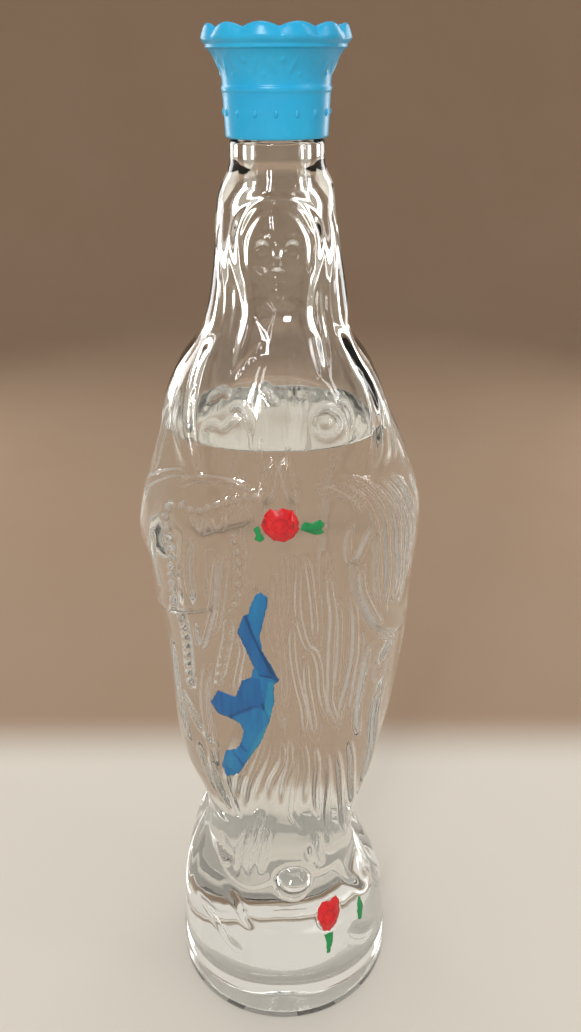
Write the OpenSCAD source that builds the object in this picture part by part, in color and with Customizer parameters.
// Holy water bottle: a robed standing figure in clear moulded glass with a blue screw crown.
// Millimetres, +Z up, the figure faces -Y, origin in the middle of the standing ring.

/* [Figure] */
// Height of the round plinth under the figure
plinth_h = 11; // [7:0.5:16]
// Height of the figure from the plinth to the neck collar
figure_h = 266; // [230:1:300]
// Width across the elbows
figure_w = 85; // [76:1:96]
// Depth of the mound from front to back
figure_d = 72.6; // [64:0.2:82]
// Height of the moulded folds, as a factor
relief_k = 1; // [0.5:0.05:1.2]

/* [Glass] */
// Glass thickness under the relief
wall = 4.4; // [3.8:0.1:5.4]
// Glass thickness over the punt
floor_t = 5; // [4:0.5:8]
// Height of the hollow under the foot
punt_h = 3.5; // [2:0.5:5]
// Width of the ring that the bottle stands on
ring_w = 5; // [3:0.5:8]

/* [Neck] */
// Diameter of the plain collar under the cap
collar_d = 25.2; // [24:0.1:26]
// Height of the plain collar
collar_h = 6.9; // [5:0.1:9]
// Diameter of the finish inside the cap
finish_d = 21.3; // [20.5:0.1:21.8]
// Height of the finish over the collar
finish_h = 10.3; // [9:0.1:12]
// Diameter of the bore
bore_d = 14; // [12:0.1:15]

/* [Crown cap] */
// Diameter of the cap's lower rim
cap_d = 26.8; // [26.2:0.1:28.5]
// Height of the cap from its lower rim to the scallops
cap_h = 26.8; // [25:0.2:30]
// Diameter of the flared lip
lip_d = 38.4; // [35:0.2:42]
// Number of scallops on the lip
scallops = 12; // [10:1:14]
// Depth of the scallops
scallop_depth = 1.1; // [0.6:0.1:1.6]
// Number of dots around the skirt
dots = 16; // [12:1:20]
// Room for the screw thread, on the radius
thread_room = 1.25; // [1:0.05:1.35]
// Gap between the collar and the cap's rim
rim_gap = 0.3; // [0.2:0.1:0.8]
// Thickness of the sealing disc
liner_t = 1.2; // [0.8:0.1:1.6]
// Thickness of the deck over the sealing disc
deck_t = 1.8; // [1.4:0.1:2.4]

/* [Water and enamel] */
// Height of the water over the table
water_z = 207; // [150:1:222]
// Clearance between the water and the glass
water_gap = 0.25; // [0.15:0.05:0.5]
// Thickness of the painted enamel
enamel_t = 0.3; // [0.25:0.05:0.6]
// Clearance between the enamel and the glass
enamel_gap = 0.1; // [0.05:0.05:0.3]

/* [Hidden] */
$fn = 64;
front_steps = 52;
back_steps = 18;
figure_top = plinth_h + figure_h;
collar_top = figure_top + collar_h;
neck_top = collar_top + finish_h;
cap_z = collar_top + rim_gap;
deck_z = neck_top + liner_t - cap_z;
socket_d = finish_d + 2 * thread_room;
bead_z = deck_z + 0.35 * deck_t;
crown_top = cap_z + cap_h;
cavity_floor = punt_h + floor_t;
cavity_top = figure_top - 6;

glass_tint = [0.85, 0.93, 0.93, 0.4];
water_tint = [0.72, 0.87, 0.95, 0.5];
crown_blue = [0.13, 0.63, 0.86];
liner_white = [0.93, 0.93, 0.90];
sash_blue = [0.06, 0.43, 0.69];
rose_red = [0.80, 0.08, 0.11];
leaf_green = [0.05, 0.47, 0.26];

// The figure's outline on the drawing: height, left, right, front and back of the axis
outline = [
    [0, 36.2, 36.6, 36.4, 36.2],    // foot of the mound
    [9, 36, 36.4, 36.4, 36],
    [18, 35.6, 34.8, 35.8, 35],
    [28, 34.8, 30.8, 34.2, 32.5],
    [36, 33.3, 27.4, 32.8, 30],
    [45, 30.6, 24.4, 31.2, 27.5],   // hem
    [54, 26.8, 24.2, 30.2, 26.4],
    [62, 26.2, 26.2, 30, 26.6],     // narrowest part of the robe
    [72, 28.7, 28.9, 30.4, 27.6],
    [84, 33.4, 31.8, 31.6, 29.2],
    [100, 35.4, 35.5, 33, 30.6],
    [120, 36.4, 38.6, 34.2, 31.8],
    [132, 37.2, 40, 34.8, 32.4],    // ends of the sleeves
    [145, 39.4, 40.5, 35.6, 33.2],
    [157, 40.6, 41.4, 35.8, 33.8],
    [167, 42.8, 42.2, 36, 34],      // elbows
    [176, 41.4, 41.8, 35.8, 33.6],
    [186, 37.9, 38.4, 35.4, 32.4],
    [196, 34.8, 33.6, 34.4, 31],
    [206, 32.5, 29.9, 31.4, 28.6],  // shoulders
    [214, 28.6, 25.8, 27.4, 25.8],
    [221, 23.2, 21.1, 22.2, 22],
    [229, 19.9, 19.6, 18, 19.8],
    [240, 17.9, 17.9, 15.8, 18.6],  // chin
    [252, 16.9, 15.9, 15.2, 17.6],
    [259, 15.9, 15.2, 14.6, 16.4],
    [263, 14.4, 14.4, 13.9, 14.8],  // crown of the veil
    [266, 13, 13, 13, 13]
];
drawing_w = max([for (row = outline) row[1] + row[2]]);
drawing_d = max([for (row = outline) row[3] + row[4]]);
drawing_h = max([for (row = outline) row[0]]);
front_k = figure_w / drawing_w;
depth_k = figure_d / drawing_d;
up_k = figure_h / drawing_h;

// Soft ridges on the front of the drawing: height, half width, path of [across, up]
veil = [[1.9, 3.4, [[-12.5, 215], [-10, 224], [-8.3, 231], [-9.6, 237], [-11, 245], [-10.4, 252],
    [-7.4, 257.2], [-3.6, 259.6], [0, 260.4], [3.6, 259.6], [7.2, 257.2], [10.2, 252], [10.6, 245],
    [9.2, 238], [8.3, 231], [10.3, 224], [12.8, 215]]]];
mantle = [
    [1.8, 5, [[-15, 226], [-20, 218], [-22.3, 209], [-21.5, 200], [-19, 190]]],
    [1.8, 5, [[14, 227], [19, 219.5], [23.6, 212], [25.4, 203], [24.4, 190]]]
];
arms = [
    [2.2, 10, [[-40, 168], [-31, 177], [-20, 181.5], [-10, 183], [-2, 183.5]]],
    [2.2, 10, [[40, 170], [31, 177.5], [20, 181.5], [10, 183], [2, 183.5]]]
];
sleeves = [
    [2, 5, [[-40, 140], [-33, 144.5], [-26, 147], [-18, 152], [-14.5, 162], [-14.5, 172]]],
    [2, 5, [[18.5, 172], [19.5, 162], [21.5, 152], [27, 143], [33, 137], [39, 132]]]
];
rosary = [[0.9, 3, [[-27, 181], [-29.3, 172], [-29.3, 152], [-27.8, 138], [-28.4, 118]]]];
skirt = [
    [1.2, 5.5, [[-4.5, 158], [-8.5, 146], [-5, 132], [-8, 112], [-14, 92]]],
    [1.6, 3.4, [[0.8, 169], [4.5, 155], [6.5, 123], [6, 100], [3, 66]]],
    [1.7, 3.6, [[8, 171], [12.5, 154], [13.5, 122], [13, 96], [11, 62]]],
    [1.6, 3.6, [[17, 150], [20.4, 138], [20.6, 126], [20, 98], [18.5, 60]]],
    [1.6, 3.8, [[27.4, 132], [27, 116], [27, 92], [24, 60]]],
    [1.6, 3.8, [[-19, 134], [-21.5, 110], [-20.5, 82], [-17.5, 60]]],
    [1.5, 3.8, [[-28.4, 112], [-28.5, 96], [-25.5, 72], [-22, 58]]],
    [1.7, 3.6, [[-5, 92], [-7, 76], [-10, 62], [-13, 53]]]
];
hem = [[2.2, 4.4, [[-29, 54], [-23, 52], [-18, 47], [-12, 44], [-6.5, 45], [-2, 48], [3, 51], [8, 50],
    [13, 47], [18, 47], [22, 42], [26, 34], [31, 27]]]];
ridges = concat(veil, mantle, arms, sleeves, rosary, skirt, hem);

// Soft swellings: height, centre, half width and half height
swellings = [
    [1.5, [0, 246.5], [8.5, 12]],       // face
    [1.3, [0, 243.2], [2.2, 3]],        // tip of the nose
    [0.7, [0, 246.6], [1.9, 4.5]],      // bridge of the nose
    [-0.6, [-3.6, 247.4], [2.8, 2.6]],  // eyes
    [-0.6, [3.6, 247.4], [2.8, 2.6]],
    [0.5, [0, 239.2], [3, 2.4]],        // lips
    [0.7, [0, 236], [3.2, 3]],          // chin
    [-1.2, [0, 230], [7, 5]],           // throat
    [1.5, [-1.5, 186], [7.5, 5.5]],     // folded hands
    [1.5, [0.4, 178.5], [7, 6.6]],      // rose at the waist
    [1.6, [-30, 160], [12, 18]],        // hanging sleeves
    [1.6, [31, 160], [11, 23]],
    [3.6, [3.2, 46.8], [6, 6.2]]        // ball at the feet
];

// Painted shapes on the drawing, as outlines of [across, up]
sash_shape = [[-6.3, 157.7], [-3.3, 157.2], [-3.1, 154.4], [-5.5, 146.9], [-5.1, 139.7], [-2.7, 133.3],
    [-0.4, 127.5], [-1.8, 124.6], [-2.1, 120.6], [-3.2, 112.9], [-5.2, 107.2], [-8.6, 99.7], [-12.4, 93.5],
    [-14.8, 89], [-17.1, 88.1], [-18.3, 92.6], [-16.6, 99.3], [-12.7, 101.9], [-11.1, 108.6], [-11.9, 110.5],
    [-19.4, 113.5], [-20.7, 116.7], [-18.3, 121.7], [-13.4, 120.8], [-11.4, 126.4], [-8.5, 128.8],
    [-7.6, 132.4], [-9.5, 137.4], [-11.9, 144.1], [-9.9, 150.9], [-7.9, 153]];
rose_shape = [[-3.4, 182], [-2, 183.4], [-0.4, 182.8], [1, 183.6], [2.6, 182.8], [4.2, 182.6], [5.3, 180],
    [5.2, 177], [4, 174.6], [1.6, 173.3], [-1.4, 173.8], [-3.6, 176], [-4.7, 178.8], [-4.2, 180.6]];
leaf_shapes = [
    [[-5.3, 178.4], [-4.9, 176.4], [-3.9, 174], [-5, 173.2], [-6.5, 173.8], [-6.2, 175.6], [-6.8, 177.2]],
    [[5.6, 177], [6.6, 179.6], [8.6, 178.9], [11, 180], [12.2, 178.6], [11.4, 177], [12, 175.4], [9.4, 175]]
];
foot_rose_shape = [[13, 36], [15, 35.4], [17.4, 35.6], [18.6, 33.6], [18.9, 29.6], [17.6, 26.4],
    [15.6, 24.6], [13.4, 25.4], [12.6, 28], [11.2, 30.8], [11.6, 34]];
foot_leaf_shapes = [
    [[13.6, 23.9], [16.6, 24], [16.4, 20.5], [15.6, 16.5], [14.6, 16.5], [14.4, 20.5]],
    [[25.4, 29], [26.5, 27.2], [27.2, 24.6], [26.6, 21.4], [25.6, 21.8], [25.1, 24.6]]
];

function clamp01(t) = min(max(t, 0), 1);
function ease(t) = let(c = clamp01(t)) c * c * (3 - 2 * c);
function mix(a, b, t) = a + (b - a) * t;
function bump(t) = t >= 1 ? 0 : pow(1 - t * t, 2);

// One row of the outline at a height on the drawing, by a smooth curve through the rows
function row_at(v) =
    let(n = len(outline))
    let(i = min(max(len([for (r = outline) if (r[0] <= v) 1]) - 1, 0), n - 2))
    let(b = outline[i], c = outline[i + 1])
    let(a = outline[max(i - 1, 0)], d = outline[min(i + 2, n - 1)])
    let(h = c[0] - b[0], t = (v - b[0]) / h)
    let(mb = (c - a) / (c[0] - a[0]), mc = (d - b) / (d[0] - b[0]))
    b * (2 * t * t * t - 3 * t * t + 1) + mb * h * (t * t * t - 2 * t * t + t)
    + c * (3 * t * t - 2 * t * t * t) + mc * h * (t * t * t - t * t);

// Distance from the axis at angle a, counted from the front towards +X, inset by a wall
function plain_r(row, a, inset) =
    let(side = (sin(a) < 0 ? row[1] : row[2]) * front_k - inset)
    let(deep = (cos(a) > 0 ? row[3] : row[4]) * depth_k - inset)
    let(n = mix(2.3, 2, ease((row[0] - 205) / 30)))
    pow(pow(abs(sin(a)) / side, n) + pow(abs(cos(a)) / deep, n), -1 / n);

function to_segment(p, a, b) =
    let(d = b - a, t = clamp01((p - a) * d / (d * d)))
    norm(p - a - t * d);
function to_path(p, path) = min([for (i = [0:len(path) - 2]) to_segment(p, path[i], path[i + 1])]);
function sum(list) = len(list) == 0 ? 0 : list * [for (i = list) 1];

// Height of the moulded relief at a point of the drawing
function front_relief(p) =
    sum([for (f = ridges) f[0] * bump(to_path(p, f[2]) / f[1])])
    + sum([for (s = swellings)
        s[0] * bump(norm([(p[0] - s[1][0]) / s[2][0], (p[1] - s[1][1]) / s[2][1]]))]);
function gathers(p) =
    0.7 * ease((p[1] - 56) / 8) * ease((98 - p[1]) / 24) * cos(360 * p[0] / 6.4);
function mantle_folds(a, v) =
    -0.9 * ease((abs(a) - 58) / 25) * ease((v - 20) / 30) * ease((226 - v) / 40)
    * (1 - cos(10 * a + 10 * sin(v * 2.2)));

// Outer glass at an angle and a height over the table
function glass_r(row, a, z) =
    let(v = (z - plinth_h) / up_k, r = plain_r(row, a, 0))
    let(p = [r * sin(a) / front_k, v], facing = ease(cos(a) * 2.5))
    let(lift = facing * (front_relief(p) + gathers(p)) + mantle_folds(a, v))
    let(ends = ease(v / 12) * ease((drawing_h - 2 - v) / 8))
    mix(collar_d / 2 + 0.3, r + relief_k * lift * ends, ease((drawing_h + 2 - v) / 6));
function row_z(z) = row_at(min(max((z - plinth_h) / up_k, 0), drawing_h));
function glass_at(a, z) = glass_r(row_z(z), a, z);
function point_at(a, r, z) = [r * sin(a), -r * cos(a), z];

// Angle at which the outer glass lies at x on the front, by repeated correction
function angle_at(x, z, a = 0, n = 8) =
    n == 0 ? a : angle_at(x, z, asin(min(max(x / glass_at(a, z), -0.98), 0.98)), n - 1);

angles = concat([for (i = [0:front_steps - 1]) -90 + 180 * i / front_steps],
    [for (i = [0:back_steps - 1]) 90 + 180 * i / back_steps]);
fold180 = function(a) a > 180 ? a - 360 : a;
mound_levels = [-1.5, 7, 16, 24, 30, 34, for (v = [37:3:61]) v];
body_levels = [67, for (v = [75:8.5:126]) v];
arm_levels = [for (v = [131:2.75:192]) v];
chest_levels = [for (v = [196:4.6:229]) v];
head_levels = [for (v = [231.5:1.6:256]) v];
crown_levels = [258, 260, 262, 264, drawing_h];
drawn_levels = concat(mound_levels, body_levels, arm_levels, chest_levels, head_levels, crown_levels);
figure_levels = [for (v = drawn_levels) plinth_h + v * up_k];

// Closed skin through rings of equal length, its facets mirrored at the middle
module skin(rings) {
    n = len(rings[0]);
    m = len(rings);
    mid_low = sum([for (p = rings[0]) p[2]]) / n;
    mid_top = sum([for (p = rings[m - 1]) p[2]]) / n;
    points = concat([for (ring = rings) each ring], [[0, 0, mid_low], [0, 0, mid_top]]);
    sides = [for (j = [0:m - 2], i = [0:n - 1])
        let(k = (i + 1) % n, lo = j * n, hi = lo + n)
        each rings[j][i][0] > 0.001
            ? [[lo + i, hi + i, lo + k], [hi + i, hi + k, lo + k]]
            : [[lo + i, hi + i, hi + k], [lo + i, hi + k, lo + k]]];
    low_cap = [for (i = [0:n - 1]) [n * m, i, (i + 1) % n]];
    top_cap = [for (i = [0:n - 1]) [n * m + 1, n * (m - 1) + (i + 1) % n, n * (m - 1) + i]];
    polyhedron(points = points, faces = concat(sides, low_cap, top_cap));
}

// Blown hollow: the plain outline inset by the wall, rounded at the floor and drawn in to the neck
function hollow_r(row, a, z) =
    let(v = (z - plinth_h) / up_k)
    let(low = mix(0.72, 1, sqrt(clamp01(1 - pow(1 - clamp01((z - cavity_floor) / 11), 2)))))
    mix(plain_r(row, a, wall) * low, bore_d / 2 + 1.2, ease((v - 240) / 22));

hollow_levels = concat([for (d = [0, 1.2, 3.5, 7]) cavity_floor + d],
    [for (i = [1:24]) mix(cavity_floor + 7, cavity_top, i / 24)]);
function hollow_ring(z, gap) =
    let(row = row_z(z))
    [for (i = [0:29]) let(a = fold180(i * 12)) point_at(a, hollow_r(row, a, z) - gap, z)];

module figure() {
    skin([for (z = figure_levels) let(row = row_z(z))
        [for (b = angles) let(a = fold180(b)) point_at(a, glass_r(row, a, z), z)]]);
}

module plinth() {
    r = 36.9 * min(front_k, depth_k) + 0.3;
    rotate_extrude()
        polygon([[0, punt_h], [r - ring_w - 7, punt_h - 0.6], [r - ring_w - 1.2, 0], [r - 1.2, 0],
            [r - 0.3, 0.5], [r, 1.6], [r, plinth_h - 2.4], [r - 0.4, plinth_h - 1.2],
            [r - 1.4, plinth_h - 0.4], [r - 4, plinth_h], [0, plinth_h]]);
}

module neck() {
    rotate_extrude()
        polygon([[0, cavity_top - 1], [collar_d / 2 - 1.6, cavity_top - 1], [collar_d / 2, figure_top - 1.5],
            [collar_d / 2, collar_top - 0.8], [collar_d / 2 - 0.8, collar_top], [finish_d / 2, collar_top],
            [finish_d / 2, neck_top - 1], [finish_d / 2 - 1, neck_top], [0, neck_top]]);
}

// Moulded figure, foot and neck in one piece of glass with its blown hollow
module glass_bottle() {
    color(glass_tint)
        difference() {
            union() {
                figure();
                plinth();
                neck();
            }
            skin([for (z = hollow_levels) hollow_ring(z, 0)]);
            translate([0, 0, cavity_top - 0.5])
                cylinder(d = bore_d, h = neck_top - cavity_top + 1);
        }
}

// Cap as a turned profile: skirt with its socket, bead, flare, lip and the open cup on top
module crown_shape() {
    skirt_r = cap_d / 2 + 0.5;
    lip_r = lip_d / 2;
    top_bead_z = cap_h - 5.1;
    top_bead_r = mix(skirt_r, lip_r, 0.7);
    flare = [for (t = [0:0.125:1])
        [mix(skirt_r, top_bead_r - 0.3, pow(t, 1.8)), mix(bead_z + 1, top_bead_z - 0.6, t)]];
    lip = [[top_bead_r + 0.3, top_bead_z - 0.4], [top_bead_r + 0.4, top_bead_z + 0.3],
        [lip_r - 0.4, cap_h - 4.2], [lip_r, cap_h - 3.4], [lip_r - 0.1, cap_h - 2.6],
        [lip_r - 0.6, cap_h - 1.3], [lip_r - 1.4, cap_h]];
    cup = [[lip_r - 2.4, cap_h], [lip_r - 2.7, cap_h - 2.4], [top_bead_r - 1.6, top_bead_z],
        [mix(skirt_r, top_bead_r, 0.3) - 1.5, mix(bead_z, top_bead_z, 0.55)],
        [skirt_r - 1.6, deck_z + deck_t + 0.8], [skirt_r - 2.4, deck_z + deck_t], [0, deck_z + deck_t]];
    skirt_side = [[socket_d / 2 + 0.3, 0], [cap_d / 2 - 0.4, 0], [cap_d / 2, 0.5], [skirt_r, bead_z - 1],
        [skirt_r + 0.35, bead_z - 0.4], [skirt_r + 0.35, bead_z + 0.4]];
    socket = [[0, deck_z], [socket_d / 2, deck_z], [socket_d / 2, 0.5]];
    rotate_extrude()
        polygon(concat(skirt_side, flare, lip, cup, socket));
}

// Screw crown with scallops and flutes around the lip and dots around the skirt
module crown_cap() {
    pitch = 360 / scallops;
    notch_r = 5;
    flute_r = 3;
    color(crown_blue)
        translate([0, 0, cap_z])
            difference() {
                union() {
                    crown_shape();
                    for (i = [0:dots - 1])
                        rotate(i * 360 / dots)
                            translate([mix(cap_d / 2, cap_d / 2 + 0.5, 0.5) - 0.35, 0, 0.53 * bead_z])
                                sphere(0.8, $fn = 24);
                }
                for (i = [0:scallops - 1])
                    rotate((i + 0.5) * pitch - 101.5)
                        union() {
                            translate([lip_d / 2 - 6, 0, cap_h + notch_r - scallop_depth])
                                rotate([0, 90, 0])
                                    cylinder(r = notch_r, h = 8);
                            translate([lip_d / 2 + flute_r - 0.8, 0, cap_h - 4])
                                cylinder(r = flute_r, h = 6);
                        }
            }
}

// Soft sealing disc between the glass and the cap
module cap_liner() {
    color(liner_white)
        translate([0, 0, neck_top])
            cylinder(d = socket_d - 0.8, h = liner_t);
}

// Water up to the figure's chest, its rings set in from those of the hollow
module holy_water() {
    below = len([for (z = hollow_levels) if (z < water_z - 0.5) z]);
    lo = hollow_levels[below - 1];
    hi = hollow_levels[below];
    t = (water_z - lo) / (hi - lo);
    floor_ring = [for (p = hollow_ring(hollow_levels[0], water_gap)) p + [0, 0, water_gap]];
    top_ring = (1 - t) * hollow_ring(lo, water_gap) + t * hollow_ring(hi, water_gap);
    color(water_tint)
        skin([floor_ring, for (k = [1:below - 1]) hollow_ring(hollow_levels[k], water_gap), top_ring]);
}

// Film of enamel that follows the outer glass inside an outline drawn on the front
module enamel(shape) {
    xs = [for (p = shape) p[0] * front_k];
    zs = [for (p = shape) plinth_h + p[1] * up_k];
    mid_z = (min(zs) + max(zs)) / 2;
    step = 180 / front_steps;
    a_min = angle_at(min(xs), mid_z) - 1.4 * step;
    a_max = angle_at(max(xs), mid_z) + 1.4 * step;
    cols = [for (a = angles) if (a > a_min && a < a_max) a];
    n = len(figure_levels);
    first = len([for (z = figure_levels) if (z < min(zs) - 0.2) z]) - 1;
    last = n - len([for (z = figure_levels) if (z > max(zs) + 0.2) z]);
    rows = [for (i = [first:last]) figure_levels[i]];
    intersection() {
        slab(rows, cols);
        rotate([90, 0, 0])
            linear_extrude(figure_d)
                polygon([for (i = [0:len(shape) - 1]) [xs[i], zs[i]]]);
    }
}

// Thin slab over a patch of the figure's skin, on the same rows and columns
module slab(rows, cols) {
    m = len(rows);
    n = len(cols);
    low = [for (z = rows, a = cols) point_at(a, glass_at(a, z) + enamel_gap, z)];
    top = [for (z = rows, a = cols) point_at(a, glass_at(a, z) + enamel_gap + enamel_t, z)];
    o = m * n;
    faces = [for (i = [0:m - 2], j = [0:n - 2])
        let(p = i * n + j, q = p + 1, r = p + n, s = r + 1)
        each low[p][0] > 0.001
            ? [[p, q, r], [r, q, s], [o + p, o + r, o + q], [o + r, o + s, o + q]]
            : [[p, s, r], [p, q, s], [o + p, o + r, o + s], [o + p, o + s, o + q]]];
    ends = [for (j = [0:n - 2])
        let(p = j, q = j + 1, r = (m - 1) * n + j, s = r + 1)
        each [[p, o + q, q], [p, o + p, o + q], [r, s, o + s], [r, o + s, o + r]]];
    edges = [for (i = [0:m - 2])
        let(p = i * n, r = p + n, q = p + n - 1, s = r + n - 1)
        each [[p, o + r, o + p], [p, r, o + r], [q, o + s, s], [q, o + q, o + s]]];
    polyhedron(points = concat(low, top), faces = concat(faces, ends, edges));
}

// Worn blue enamel on the sash
module painted_sash() {
    color(sash_blue) enamel(sash_shape);
}

// Red enamel rose held at the waist
module waist_rose() {
    color(rose_red) enamel(rose_shape);
}

// Green enamel leaves on both sides of the rose
module waist_leaves() {
    color(leaf_green)
        for (shape = leaf_shapes)
            enamel(shape);
}

// Red enamel rose on the mound
module foot_rose() {
    color(rose_red) enamel(foot_rose_shape);
}

// Green enamel stem and leaf on the mound
module foot_leaves() {
    color(leaf_green)
        for (shape = foot_leaf_shapes)
            enamel(shape);
}

glass_bottle();
crown_cap();
cap_liner();
holy_water();
painted_sash();
waist_rose();
waist_leaves();
foot_rose();
foot_leaves();
